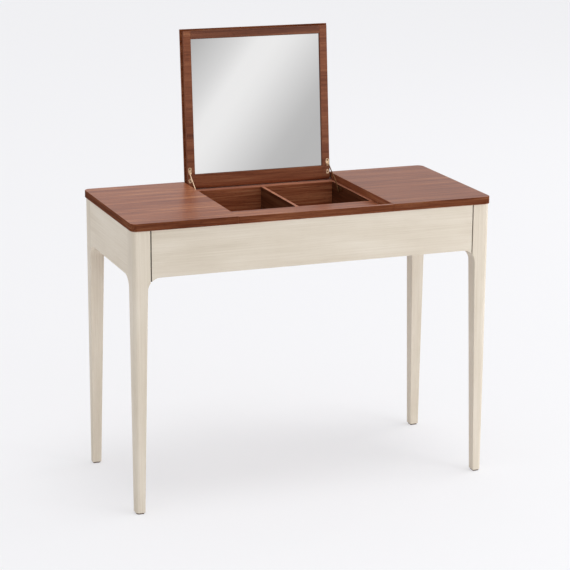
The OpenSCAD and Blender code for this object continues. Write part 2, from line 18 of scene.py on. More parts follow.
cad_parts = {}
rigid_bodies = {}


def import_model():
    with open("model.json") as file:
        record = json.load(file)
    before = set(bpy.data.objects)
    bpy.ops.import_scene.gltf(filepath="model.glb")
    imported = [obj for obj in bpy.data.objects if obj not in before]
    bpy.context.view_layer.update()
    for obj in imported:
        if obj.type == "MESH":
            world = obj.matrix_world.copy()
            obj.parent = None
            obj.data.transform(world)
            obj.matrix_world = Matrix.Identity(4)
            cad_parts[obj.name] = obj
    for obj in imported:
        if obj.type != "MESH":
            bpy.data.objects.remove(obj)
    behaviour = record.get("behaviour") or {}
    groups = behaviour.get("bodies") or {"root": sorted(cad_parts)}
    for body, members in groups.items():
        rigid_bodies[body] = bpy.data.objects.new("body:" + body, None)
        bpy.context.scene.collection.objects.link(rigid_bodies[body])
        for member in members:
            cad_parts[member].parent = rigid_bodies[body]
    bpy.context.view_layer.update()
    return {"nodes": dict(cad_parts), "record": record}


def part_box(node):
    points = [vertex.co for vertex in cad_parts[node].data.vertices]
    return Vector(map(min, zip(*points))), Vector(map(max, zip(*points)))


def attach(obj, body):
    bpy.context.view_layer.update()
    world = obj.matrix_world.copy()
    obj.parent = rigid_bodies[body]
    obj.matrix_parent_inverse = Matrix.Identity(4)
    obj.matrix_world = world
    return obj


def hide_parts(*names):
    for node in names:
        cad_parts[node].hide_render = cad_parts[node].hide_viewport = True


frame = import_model()
MM = 0.001

# %% [markdown]
# A camera is a place, three turns and a lens. Perspective shows how far away the photograph
# was taken: the two ends of the top differ little in size, so the camera stands about five and
# a half metres off and uses a long lens. Its turns are given the way a photographer says them:
# how far it looks to the right, how far down, and how far it leans.

# %% Camera
CAMERA_PLACE = (-1.891, -4.936, 1.916)
LOOKS_RIGHT = math.radians(21.01)
LOOKS_DOWN = math.radians(14.85)
LEANS = math.radians(0.36)
LENS_MM = 126.9
SEES_TO = 200


def camera_turn(right, down, lean):
    """The turn of a camera that starts out looking along +Y."""
    upright = Matrix.Rotation(math.radians(90) - down, 4, "X")
    return Matrix.Rotation(-right, 4, "Z") @ upright @ Matrix.Rotation(lean, 4, "Z")


camera = bpy.data.objects.new("camera", bpy.data.cameras.new("camera"))
bpy.context.scene.collection.objects.link(camera)
turn = camera_turn(LOOKS_RIGHT, LOOKS_DOWN, LEANS)
camera.matrix_world = Matrix.Translation(CAMERA_PLACE) @ turn
camera.data.lens = LENS_MM
camera.data.clip_end = SEES_TO
bpy.context.scene.camera = camera
bpy.context.scene.view_settings.view_transform = "Standard"
print("the camera stands", round(camera.location.length, 2), "m from the floor's middle")

# %% [markdown]
# Node trees read better as Python than as a drawing. One small class stands for an output socket
# and turns `+`, `-`, `*` and `/` into Math nodes, so that `1 - mask` works as it looks. The
# finishes, the fasteners and the sky all use it.


# %% Sockets that add and multiply
class Wire:
    """An output socket that can take part in sums."""

    def __init__(self, board, socket):
        self.board = board
        self.socket = socket

    def math(self, operation, first, second):
        return self.board.node("ShaderNodeMath", {"operation": operation}, {0: first, 1: second})

    def __add__(self, other):
        return self.math("ADD", self, other)

    def __sub__(self, other):
        return self.math("SUBTRACT", self, other)

    def __mul__(self, other):
        return self.math("MULTIPLY", self, other)

    def __truediv__(self, other):
        return self.math("DIVIDE", self, other)

    def __rsub__(self, other):
        return self.math("SUBTRACT", other, self)

    def __rtruediv__(self, other):
        return self.math("DIVIDE", other, self)

    __radd__ = __add__
    __rmul__ = __mul__


print("wires can be added, subtracted, multiplied and divided")

# %% [markdown]
# A tree has one method for every kind of node. It takes the node's type, its settings and what
# goes into its sockets. The settings come first, because some of them change which sockets are
# in use. A colour ramp's stops count as a setting too.


# %% A tree that is written as Python
def fill_ramp(ramp, stops):
    """Gives a colour ramp its stops, as (position, linear colour) pairs."""
    while len(ramp.elements) > 1:
        ramp.elements.remove(ramp.elements[-1])
    for i, (position, colour) in enumerate(stops):
        stop = ramp.elements[0] if i == 0 else ramp.elements.new(position)
        stop.position = position
        stop.color = (*colour, 1)


class Board:
    """A node tree that is written as Python."""

    def __init__(self, tree):
        self.tree = tree

    def node(self, kind, settings=None, inputs=None, output=0):
        made = self.tree.nodes.new(kind)
        for key, value in (settings or {}).items():
            if key == "stops":
                fill_ramp(made.color_ramp, value)
            else:
                setattr(made, key, value)
        for key, value in (inputs or {}).items():
            self.feed(made.inputs[key], value)
        return Wire(self, made.outputs[output])

    def feed(self, socket, value):
        if isinstance(value, list):
            for one in value:
                self.feed(socket, one)
        elif isinstance(value, Wire):
            self.tree.links.new(value.socket, socket)
        else:
            socket.default_value = value


print("one method adds every kind of node")

# %% [markdown]
# A finish is a tree that ends in the Principled shader. A number that is the same all over goes
# straight onto the shader's socket, and only what changes over the surface is linked. Colours
# are given as on a screen, from 0 to 255, and made linear, because light adds up that way.


# %% Finishes and their colours
class Finish(Board):
    """One material, with methods for the nodes that feed its shader."""

    def __init__(self, name):
        self.material = bpy.data.materials.new(name)
        self.material.use_nodes = True
        super().__init__(self.material.node_tree)
        self.shader = self.tree.nodes["Principled BSDF"]

    def shade(self, **values):
        """Sets sockets of the Principled shader: base_color goes to Base Color."""
        for key, value in values.items():
            label = key.replace("_", " ").title().replace("Ior", "IOR")
            self.feed(self.shader.inputs[label], value)

    def spread(self, value, low, high):
        """Maps low to 0 and high to 1, with a smooth start and end."""
        settings = {"interpolation_type": "SMOOTHSTEP"}
        return self.node("ShaderNodeMapRange", settings, {0: value, 1: low, 2: high})

    def tint(self, colour, factor, other):
        """Goes from colour to other as factor goes from 0 to 1."""
        inputs = {0: factor, 6: colour, 7: other}
        return self.node("ShaderNodeMix", {"data_type": "RGBA"}, inputs, 2)


def srgb(red, green, blue):
    """A linear colour from the 0 to 255 numbers of a screen colour."""
    return tuple(((c / 255 + 0.055) / 1.055) ** 2.4 for c in (red, green, blue))


print("white is", srgb(255, 255, 255))

# %% [markdown]
# Wood grain is the same pattern as noise that has been stretched a lot along one axis. On a
# veneered board the long faces carry the grain along the board, and each narrow end has its own
# strip of banding, whose grain runs along that strip. So the finish needs two sets of
# coordinates, and the surface's own direction picks one of them: a face is an end where its
# normal runs nearly along the grain.


# %% Coordinates along the grain
AXES = "xyz"
END_FACE = 0.72


def grain_place(finish, along, banding):
    """Object coordinates as (along the grain, across, across), and banding on the end faces."""
    place = finish.node("ShaderNodeTexCoord", output=3)
    facing = finish.node("ShaderNodeTexCoord", output=1)
    split = finish.node("ShaderNodeSeparateXYZ", inputs={0: place}).socket.node
    ends = finish.node("ShaderNodeSeparateXYZ", inputs={0: facing}, output=AXES.index(along))

    def order(first):
        rest = [a for a in AXES if a != first]
        parts = [Wire(finish, split.outputs[AXES.index(a)]) for a in (first, *rest)]
        return finish.node("ShaderNodeCombineXYZ", inputs=dict(enumerate(parts)))

    if banding is None:
        return order(along)
    turned = finish.node("ShaderNodeMath", {"operation": "ABSOLUTE"}, {0: ends})
    at_end = finish.node("ShaderNodeMath", {"operation": "GREATER_THAN"}, {0: turned, 1: END_FACE})
    inputs = {0: at_end, 4: order(along), 5: order(banding)}
    return finish.node("ShaderNodeMix", {"data_type": "VECTOR"}, inputs, 1)


def streaks(finish, place, length, width, detail=3.0, rough=0.55, bend=0.0, shift=0.0):
    """Noise whose spots are about length long and width wide, from 0 to 1."""
    stretch = (1 / length, 1 / width, 1 / width)
    inputs = {"Vector": place, "Scale": stretch, "Location": (shift, shift, shift)}
    placed = finish.node("ShaderNodeMapping", inputs=inputs)
    inputs = {"Vector": placed, "Scale": 1.0, "Detail": detail}
    inputs |= {"Roughness": rough, "Distortion": bend}
    return finish.node("ShaderNodeTexNoise", inputs=inputs)


print(f"end faces look within {math.degrees(math.acos(END_FACE)):.0f} degrees of the grain")

# %% [markdown]
# Walnut veneer has broad bands of lighter and darker wood, fine streaks in them, and pores that
# show as short dark dashes. It could be a picture of wood, but a picture repeats and blurs. Here
# each layer is a stretched noise at its own real size. The satin lacquer over it is an even,
# slightly rough gloss, which turns the top pale where it mirrors the bright room at a low angle.


# %% Walnut finish
WOOD_TONES = (
    (0.15, srgb(92, 40, 22)),
    (0.40, srgb(137, 74, 45)),
    (0.55, srgb(160, 94, 61)),
    (0.80, srgb(196, 134, 94)),
)
PORE = (*srgb(48, 25, 18), 1)
# The warm colour of the painted sheen that pale adds to the wood, standing in for the bright room
# mirrored in the lacquer.
SHEEN_TINT = (1.0, 0.88, 0.80)


def toned(stops, tone, pale=0.0):
    """The stops of a ramp, made lighter or darker, with some painted sheen added."""
    painted_sheen = [pale * h for h in SHEEN_TINT]
    return [(at, tuple(tone * c + v for c, v in zip(colour, painted_sheen))) for at, colour in stops]


def walnut(name, along, banding=None, tone=1.0, contrast=1.0, shift=0.0, gloss=1.40, pale=0.0):
    """Lacquered walnut veneer with its grain along an axis, and along another on its ends."""
    finish = Finish(name)
    place = grain_place(finish, along, banding)
    bands = streaks(finish, place, 0.60, 0.030, detail=3.0, bend=0.35, shift=shift)
    veins = streaks(finish, place, 0.25, 0.012, detail=3.0, bend=0.20, shift=shift + 3)
    lines = streaks(finish, place, 0.16, 0.0040, detail=4.0, rough=0.6, shift=shift + 7)
    threads = streaks(finish, place, 0.08, 0.0014, detail=2.0, shift=shift + 13)
    pores = streaks(finish, place, 0.012, 0.0005, detail=1.0, shift=shift + 29)
    broad = (bands - 0.5) * 0.8 + (veins - 0.5) * 1.2
    figure = 0.5 + contrast * (broad + (lines - 0.5) * 1.2 + (threads - 0.5) * 0.6)
    stops = toned(WOOD_TONES, tone, pale)
    wood = finish.node("ShaderNodeValToRGB", {"stops": stops}, {0: figure})
    pits = finish.spread(pores, 0.60, 0.70) * 0.55
    height = lines * 0.5 + threads * 0.5 - pits * 0.8
    inputs = {"Strength": 0.25, "Distance": 0.0002, "Height": height}
    finish.shade(
        base_color=finish.tint(wood, pits, PORE),
        roughness=0.36 + (lines - 0.5) * 0.10,
        ior=gloss,
        normal=finish.node("ShaderNodeBump", inputs=inputs),
    )
    return finish.material


print("the wood goes through", len(WOOD_TONES), "tones")

# %% [markdown]
# All the boards are walnut, but they don't all look alike: edges, inner faces and the right
# panel of the top take darker copies of the veneer, painted shade, and the rims a lighter one,
# painted light. One function makes every finish. `tone` lightens or darkens the wood,
# `contrast` weakens its figure, `shift` moves the pattern, `gloss` is the lacquer's index of
# refraction, and `pale` adds painted sheen, a pale veil in the colour of lit lacquer, which the
# rims of the well show most. The outer edges have nearly no gloss, because at a low angle they
# would mirror the pale floor.

# %% Tones of walnut
WALNUT_TOP = walnut("walnut_top", "x", "y", tone=1.04, contrast=0.65, gloss=1.36)
# The right panel is a darker copy of the top's veneer: painted shade for the weaker sheen on that
# side.
WALNUT_TOP_RIGHT_SHADED = walnut(
    "walnut_top_right", "x", "y", tone=0.88, contrast=0.55, shift=21.0, gloss=1.36
)
# The outer edges are a much darker copy of the veneer: painted shade on faces that look sideways.
WALNUT_EDGE_SHADE = walnut(
    "walnut_edge", "x", "y", tone=0.53, contrast=0.7, shift=12.0, gloss=1.02, pale=0.006
)
WALNUT_LID_BACK = walnut("walnut_lid_back", "x", "z", contrast=0.6, shift=7.0, gloss=1.36)
# The lid panel's narrow edges are a darker copy of its veneer: painted shade.
WALNUT_LID_EDGE_SHADE = walnut(
    "walnut_lid_edge", "x", "z", tone=0.66, contrast=0.7, shift=13.0, gloss=1.05
)
# The well's rims are a lighter copy of the veneer with much painted sheen: painted light.
WALNUT_RIM_LIT = walnut("walnut_rim", "x", tone=1.22, contrast=0.5, shift=15.0, gloss=1.10, pale=0.085)
WALNUT_LID = walnut("walnut_lid", "x", "z", tone=0.77, contrast=0.45, shift=3.0, gloss=1.25)
# The stiles and the top rail carry a little painted sheen through pale, the rail the most.
WALNUT_STILE = walnut(
    "walnut_stile", "x", "z", tone=0.70, contrast=0.45, shift=3.0, gloss=1.25, pale=0.008
)
WALNUT_RAIL = walnut(
    "walnut_rail", "x", "z", tone=0.55, contrast=0.45, shift=19.0, gloss=1.25, pale=0.014
)
WALNUT_WELL = walnut(
    "walnut_well", "x", "y", tone=0.95, contrast=0.6, shift=5.0, gloss=1.25, pale=0.004
)
WALNUT_SHADE = walnut("walnut_shade", "y", tone=0.28, contrast=0.8, shift=9.0, gloss=1.25)
print("walnut finishes:", [m.name for m in bpy.data.materials if m.name.startswith("walnut_")])

# %% [markdown]
# The frame is painted cream over an open-grained wood, so the grain still shows as fine low
# lines under the paint. The lines run the long way of each rail and up the legs. They are mostly
# height, with a little darker paint in the hollows. The grooves beside the front legs get a much
# darker tone, because a gap as narrow as that shows nearly no light. The side aprons take a
# lighter copy of the paint, painted light, and the front and back aprons a slightly darker one,
# painted shade.


# %% Cream paint
PAINT_TONES = (
    (0.10, srgb(208, 195, 175)),
    (0.50, srgb(222, 211, 193)),
    (0.90, srgb(233, 224, 209)),
)


def cream_paint(name, along, banding=None, shift=0.0, tone=1.0):
    """Cream paint over wood whose grain runs along an axis."""
    finish = Finish(name)
    place = grain_place(finish, along, banding)
    brush = streaks(finish, place, 0.30, 0.004, detail=4.0, rough=0.65, shift=shift)
    cloud = streaks(finish, place, 0.25, 0.06, detail=2.0, shift=shift + 5)
    grain = streaks(finish, place, 0.030, 0.0009, detail=2.0, shift=shift + 11)
    hollow = finish.spread(grain, 0.56, 0.72)
    figure = 0.5 + (brush - 0.5) * 0.9 + (cloud - 0.5) * 0.8 - hollow * 0.22
    inputs = {"Strength": 0.30, "Distance": 0.0003, "Height": brush * 0.6 - hollow}
    stops = toned(PAINT_TONES, tone)
    finish.shade(
        base_color=finish.node("ShaderNodeValToRGB", {"stops": stops}, {0: figure}),
        roughness=0.52 + hollow * 0.12,
        ior=1.45,
        normal=finish.node("ShaderNodeBump", inputs=inputs),
    )
    return finish.material


# The front and back aprons take a slightly darker copy of the paint, painted shade, and the side
# aprons a lighter one, painted light.
PAINT_ACROSS_SHADED = cream_paint("cream_paint_across", "x", "y", tone=0.965)
PAINT_SIDE_LIT = cream_paint("cream_paint_side", "y", "x", shift=2.0, tone=1.06)
PAINT_UPRIGHT = cream_paint("cream_paint_upright", "z", shift=4.0)
PAINT_GROOVE = cream_paint("cream_paint_groove", "z", shift=6.0, tone=0.28)
print("paints:", [m.name for m in bpy.data.materials if m.name.startswith("cream_paint_")])

# %% [markdown]
# The stays and hinges are brass, and the hidden screws and bolts are zinc plated steel. Metal
# shows what it mirrors, so its own colour hardly varies, and its life comes from a roughness
# that does: a fine brushed grain with broader patches of wear over it.


# %% Brass and steel
def metal(name, colour, rough, fine, share=1.0):
    """Metal with a fine brushed grain of the given width. A lacquer over it lowers the share."""
    finish = Finish(name)
    place = grain_place(finish, "z", None)
    brushed = streaks(finish, place, fine * 30, fine, detail=2.0)
    wear = streaks(finish, place, 0.012, 0.008, detail=3.0, shift=4.0)
    dark = tuple(c * 0.82 for c in colour)
    finish.shade(
        base_color=finish.tint((*dark, 1), finish.spread(wear, 0.3, 0.7), (*colour, 1)),
        metallic=share,
        roughness=rough + (brushed - 0.5) * 0.18 + (wear - 0.5) * 0.10,
    )
    return finish.material


BRASS = metal("brass", srgb(246, 214, 178), 0.30, 0.0003, share=0.6)
SHADED_BRASS = metal("shaded_brass", srgb(120, 88, 58), 0.40, 0.0003)
STEEL = metal("zinc_plated_steel", srgb(186, 188, 192), 0.38, 0.0004)
print("metals:", BRASS.name, SHADED_BRASS.name, STEEL.name)

# %% [markdown]
# What nobody sees from above is left bare: the beech blocks and dowels at the legs, and the
# hardboard behind the mirror. The mirror itself is glass with silver behind it. It could be two
# layers, but from the front one mirroring surface looks the same. Each foot ends in a dark
# rubber pad, whose moulded skin is a fine noise.


# %% Bare wood, mirror and rubber
def bare_wood(name, colour, along):
    """Unfinished wood that nobody sees from above."""
    finish = Finish(name)
    place = grain_place(finish, along, None)
    lines = streaks(finish, place, 0.2, 0.004, detail=4.0)
    dark = tuple(c * 0.72 for c in colour)
    inputs = {"Strength": 0.4, "Distance": 0.0003, "Height": lines}
    finish.shade(
        base_color=finish.tint((*dark, 1), finish.spread(lines, 0.3, 0.7), (*colour, 1)),
        roughness=0.75,
        normal=finish.node("ShaderNodeBump", inputs=inputs),
    )
    return finish.material


def silvered_glass(name):
    """A mirror: it reflects nearly all light, and has only a trace of wiping marks."""
    finish = Finish(name)
    place = finish.node("ShaderNodeTexCoord", output=3)
    marks = streaks(finish, place, 0.3, 0.2, detail=3.0)
    finish.shade(base_color=(0.94, 0.935, 0.935, 1), metallic=1.0, roughness=0.02 + marks * 0.015)
    return finish.material


def foot_rubber(name):
    """Dark brown rubber with a fine moulded skin."""
    finish = Finish(name)
    place = finish.node("ShaderNodeTexCoord", output=3)
    skin = streaks(finish, place, 0.0008, 0.0008, detail=2.0)
    inputs = {"Strength": 0.3, "Distance": 0.0001, "Height": skin}
    dark, pale = (*srgb(70, 50, 38), 1), (*srgb(96, 72, 56), 1)
    finish.shade(
        base_color=finish.tint(dark, skin, pale),
        roughness=0.8,
        normal=finish.node("ShaderNodeBump", inputs=inputs),
    )
    return finish.material


RAW_WOOD = bare_wood("raw_beech", srgb(206, 170, 128), "z")
BACKING = bare_wood("hardboard", srgb(104, 74, 56), "x")
MIRROR = silvered_glass("silvered_glass")
RUBBER = foot_rubber("foot_rubber")
print("the rest:", RAW_WOOD.name, BACKING.name, MIRROR.name, RUBBER.name)

# %% [markdown]
# No real edge is perfectly sharp, and the thin line of light on a rounded edge is what makes a
# board look solid. Every piece but the fasteners is a merged copy of its CAD solid. Its flat
# faces are joined again, and its sharp edges get a weight, which tells a Bevel modifier where to
# round. Where two painted pieces meet flush, the edges in the joint keep no weight, because
# filler and paint hide it.


# %% Copies of the solids with marked edges
SHARP = math.radians(28)
FLAT = math.radians(0.5)
MERGE = 1e-6
TOUCH = 2e-5


def merged_copy(node):
    """The CAD solid as a mesh with shared corners and whole flat faces."""
    shape = bmesh.new()
    shape.from_mesh(frame["nodes"][node].data)
    bmesh.ops.remove_doubles(shape, verts=shape.verts, dist=MERGE)
    bmesh.ops.dissolve_limit(shape, angle_limit=FLAT, verts=shape.verts, edges=shape.edges)
    return shape


def in_joint(edge, joints):
    """True if an edge lies in one of the planes, given as (axis, place)."""
    return any(all(abs(v.co[axis] - place) < TOUCH for v in edge.verts) for axis, place in joints)


def weigh_edges(shape, joints):
    """Marks the sharp edges for the Bevel modifier, and keeps those in the joints sharp."""
    weight = shape.edges.layers.float.new("bevel_weight_edge")
    for edge in shape.edges:
        if edge.calc_face_angle(0) > SHARP:
            edge[weight] = 0.0 if in_joint(edge, joints) else 1.0
            edge.smooth = edge[weight] > 0


print("edges turn by more than", round(math.degrees(SHARP)), "degrees are rounded")

# %% [markdown]
# A finished piece takes over from its CAD node: it moves with the node's body and hides the
# node. Before that, the modifiers' result is made its own mesh, so that the export finds plain
# geometry.


# %% Pieces that take over from their solids
def settle(piece):
    """Makes the modifiers' result the piece's own mesh."""
    graph = bpy.context.evaluated_depsgraph_get()
    done = bpy.data.meshes.new_from_object(piece.evaluated_get(graph), depsgraph=graph)
    piece.modifiers.clear()
    piece.data = done
    return piece


BODIES = frame["record"]["behaviour"]["bodies"]


def body_of(node):
    """The body that a CAD node belongs to."""
    return next(body for body, members in BODIES.items() if node in members)


def stands_for(piece, *nodes):
    """Lets a finished piece move with, and stand for, its CAD nodes."""
    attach(piece, body_of(nodes[0]))
    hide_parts(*nodes)
    return piece


print("nodes on each body:", {body: len(members) for body, members in BODIES.items()})

# %% [markdown]
# The Bevel modifier rounds the weighted edges, and a Weighted Normal keeps the large faces flat
# beside them. Some pieces show two finishes, such as a board with a darker edge. A small test
# says which faces take the second one, by the way they look.


# %% Rounded edges and two finishes
MOSTLY = 0.5


def outward(face):
    """True for an upright face that looks away from the middle of the table."""
    spot = face.calc_center_median()
    around = face.normal.x * spot.x + face.normal.y * spot.y
    return abs(face.normal.z) < MOSTLY and around > 0


def softened(node, name, radius, material, joints=(), segments=3, second=None, where=outward):
    """A copy of a CAD solid with rounded edges, in its finish, and in a second one where asked."""
    shape = merged_copy(node)
    weigh_edges(shape, joints)
    for face in shape.faces:
        face.material_index = int(second is not None and where(face))
    mesh = bpy.data.meshes.new(name)
    shape.to_mesh(mesh)
    shape.free()
    piece = bpy.data.objects.new(name, mesh)
    bpy.context.scene.collection.objects.link(piece)
    mesh.polygons.foreach_set("use_smooth", [segments > 1] * len(mesh.polygons))
    for finish in (material, second or material):
        mesh.materials.append(finish)
    bevel = piece.modifiers.new("soft edges", "BEVEL")
    bevel.limit_method = "WEIGHT"
    bevel.width = radius
    bevel.segments = segments
    bevel.use_clamp_overlap = False
    even = piece.modifiers.new("even shading", "WEIGHTED_NORMAL")
    even.mode = "FACE_AREA"
    even.weight = 100
    even.keep_sharp = True
    return stands_for(settle(piece), node)


print("a face looks along an axis if its normal has more than", MOSTLY, "of it")

# %% [markdown]
# The top is 20 mm thick, its front lip 13 mm and the ledges under the lid 12 mm. Their edges are
# eased by hand: the panels by a millimetre and a half, the lip a little less, and what lies
# under the lid by a millimetre or less. The outer edges take a darker copy of the veneer than
# the top: the top's lighter tone paints its sheen, the edges' darker one paints their shade. In
# the well the rims take a lighter copy with painted sheen, while the sides of the side walls and
# of the divider lie in painted shade.

# %% Top and well
for side, veneer in (("left", WALNUT_TOP), ("right", WALNUT_TOP_RIGHT_SHADED)):
    softened(f"{side}_top_panel", f"veneered_{side}_top", 1.5 * MM, veneer, second=WALNUT_EDGE_SHADE)
softened("front_lip", "veneered_front_lip", 1.2 * MM, WALNUT_TOP, second=WALNUT_EDGE_SHADE)


def not_up(face):
    """True for a face that does not look up."""
    return face.normal.z < MOSTLY


# The back ledge's top and the rims of the side walls and divider take the lighter copy with painted
# sheen.
for end, upper in (("front", WALNUT_TOP), ("back", WALNUT_RIM_LIT)):
    ledge_faces = {"second": WALNUT_WELL, "where": not_up}
    softened(f"{end}_ledge", f"veneered_{end}_ledge", 0.8 * MM, upper, **ledge_faces)
    softened(f"well_{end}_wall", f"veneered_{end}_wall", 0.8 * MM, WALNUT_WELL)
shaded = {"second": WALNUT_SHADE, "where": not_up}
for side in ("left", "right"):
    softened(f"well_{side}_wall", f"veneered_{side}_wall", 0.8 * MM, WALNUT_RIM_LIT, **shaded)
softened("well_divider", "veneered_divider", 1.0 * MM, WALNUT_RIM_LIT, **shaded)
softened("well_floor", "veneered_floor", 0.5 * MM, WALNUT_WELL)
print("boards of the top and the well are in place")

# %% [markdown]
# The legs and aprons are glued, filled and painted as one frame. Only the grooves beside the
# front legs show. The joints lie in four planes, where the legs' inner faces meet the aprons,
# and the edges in those planes stay sharp.

# %% Painted frame
GROOVE_REACH = 5 * MM
apron_low, apron_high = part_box("front_apron")
side_low, side_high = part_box("left_apron")
SIDE_JOINTS = [(1, side_low.y), (1, side_high.y)]
END_JOINTS = [(0, apron_low.x), (0, apron_high.x)]
for corner in ("front_left", "front_right", "back_left", "back_right"):
    joints = SIDE_JOINTS if corner.startswith("front") else SIDE_JOINTS + END_JOINTS
    softened(f"{corner}_leg", f"painted_{corner}_leg", 1.5 * MM, PAINT_UPRIGHT, joints)


def in_groove(face):
    """True for a face at the bottom or on the side of a groove of the front apron."""
    end = apron_high.x - abs(face.calc_center_median().x)
    return abs(face.normal.z) < MOSTLY and 0 < end < GROOVE_REACH


grooves = {"second": PAINT_GROOVE, "where": in_groove}
softened("front_apron", "painted_front_apron", 0.8 * MM, PAINT_ACROSS_SHADED, **grooves)
softened("back_apron", "painted_back_apron", 1.2 * MM, PAINT_ACROSS_SHADED, END_JOINTS)
for side in ("left", "right"):
    softened(f"{side}_apron", f"painted_{side}_apron", 1.2 * MM, PAINT_SIDE_LIT, SIDE_JOINTS)
softened("corner_blocks", "beech_corner_blocks", 1.0 * MM, RAW_WOOD)
softened("foot_pads", "rubber_foot_pads", 0.6 * MM, RUBBER)
print("legs, aprons, blocks and pads are in place")

# %% [markdown]
# The lid is a thin outer panel with a frame of stiles and rails under it. The mirror lies in
# that frame on a board. Veneer covers the lid in one sheet, so its grain runs from side to
# side, also on the stiles. Opened, the lid shows its outer face to the back and its narrow
# edges to the sides, which take a darker copy of the veneer, painted shade.


# %% Lid and mirror
def beside_lid(face):
    """True for a face of the lid's panel that does not look back."""
    return face.normal.y < MOSTLY


# The faces of the lid panel that don't look back take the painted shade.
rim = {"second": WALNUT_LID_EDGE_SHADE, "where": beside_lid}
softened("lid_panel", "veneered_lid_panel", 0.8 * MM, WALNUT_LID_BACK, **rim)
for side in ("left", "right"):
    softened(f"lid_{side}_stile", f"veneered_{side}_stile", 0.5 * MM, WALNUT_STILE)
softened("lid_top_rail", "veneered_top_rail", 0.5 * MM, WALNUT_RAIL)
softened("lid_hinge_rail", "veneered_hinge_rail", 0.5 * MM, WALNUT_LID)
softened("mirror_glass", "lid_mirror", 1.0 * MM, MIRROR, segments=1)
softened("mirror_backing", "mirror_backing_board", 0.3 * MM, BACKING)
print("lid is in place")

# %% [markdown]
# The stays are small brass parts, stamped from sheet and tumbled, so every edge has a tiny
# radius that catches the light. The right arm, the brackets and the hinge pins lie in the shade
# of other parts, and take the darker brass.

# %% Stays and pins
for side, arm_finish in (("left", BRASS), ("right", SHADED_BRASS)):
    softened(f"{side}_stay_leaf", f"brass_{side}_leaf", 0.25 * MM, BRASS)
    softened(f"{side}_stay_arm", f"brass_{side}_arm", 0.3 * MM, arm_finish)
    softened(f"{side}_stay_bracket", f"brass_{side}_bracket", 0.2 * MM, SHADED_BRASS)
softened("hinge_plates", "brass_hinge_plates", 0.25 * MM, BRASS)
softened("stay_pins", "brass_stay_pins", 0.2 * MM, BRASS)
softened("hinge_pins", "brass_hinge_pins", 0.4 * MM, SHADED_BRASS)
print("stays and pins are in place")

# %% [markdown]
# Forty-six small pieces hold the table together: screws, dowels, and the bolts, washers and nuts
# behind the legs. Each kind repeats, so Geometry Nodes make it once and put a copy on every
# point of a set. The points come from the CAD solids: each solid is a body of revolution, so
# the odd one of its three main directions is its axis, and its wider end is its head.


# %% Where the fasteners are
def loose_parts(node):
    """The corners of each separate solid of a CAD node."""
    shape = merged_copy(node)
    seen, parts = set(), []
    for first in shape.verts:
        if first in seen:
            continue
        seen.add(first)
        part = [first]
        for corner in part:
            others = [edge.other_vert(corner) for edge in corner.link_edges]
            fresh = [other for other in others if other not in seen]
            seen.update(fresh)
            part.extend(dict.fromkeys(fresh))
        parts.append(np.array([corner.co for corner in part]))
    shape.free()
    return parts


def spindle(corners):
    """The head's end of a turned solid, the way it looks, and its greatest and least radius."""
    middle = corners.mean(axis=0)
    spread, ways = np.linalg.eigh(np.cov((corners - middle).T))
    way = ways[:, 2 if spread[2] - spread[1] > spread[1] - spread[0] else 0]
    along = (corners - middle) @ way
    out = np.linalg.norm(corners - middle - np.outer(along, way), axis=1)
    if along[out.argmax()] < 0:
        way, along = -way, -along
    return middle + along.max() * way, way, np.ptp(along), out.max(), out.min()


_, way, length, wide, _ = spindle(loose_parts("top_screws")[0])
print("a screw of the top looks", way.round(2), "and is", round(length / MM, 1), "mm long")
print("its head is", round(2 * wide / MM, 1), "mm across")

# %% [markdown]
# A tree for a fastener has a named input for every size. Its main step is the one a lathe
# makes: start from a round foot, pull it up and widen or narrow it, ring after ring. At the end
# each copy is turned to look the way its point says, with a spin from a fixed seed, so that no
# two slots line up. Realize Instances makes the copies real, because the export drops instances.


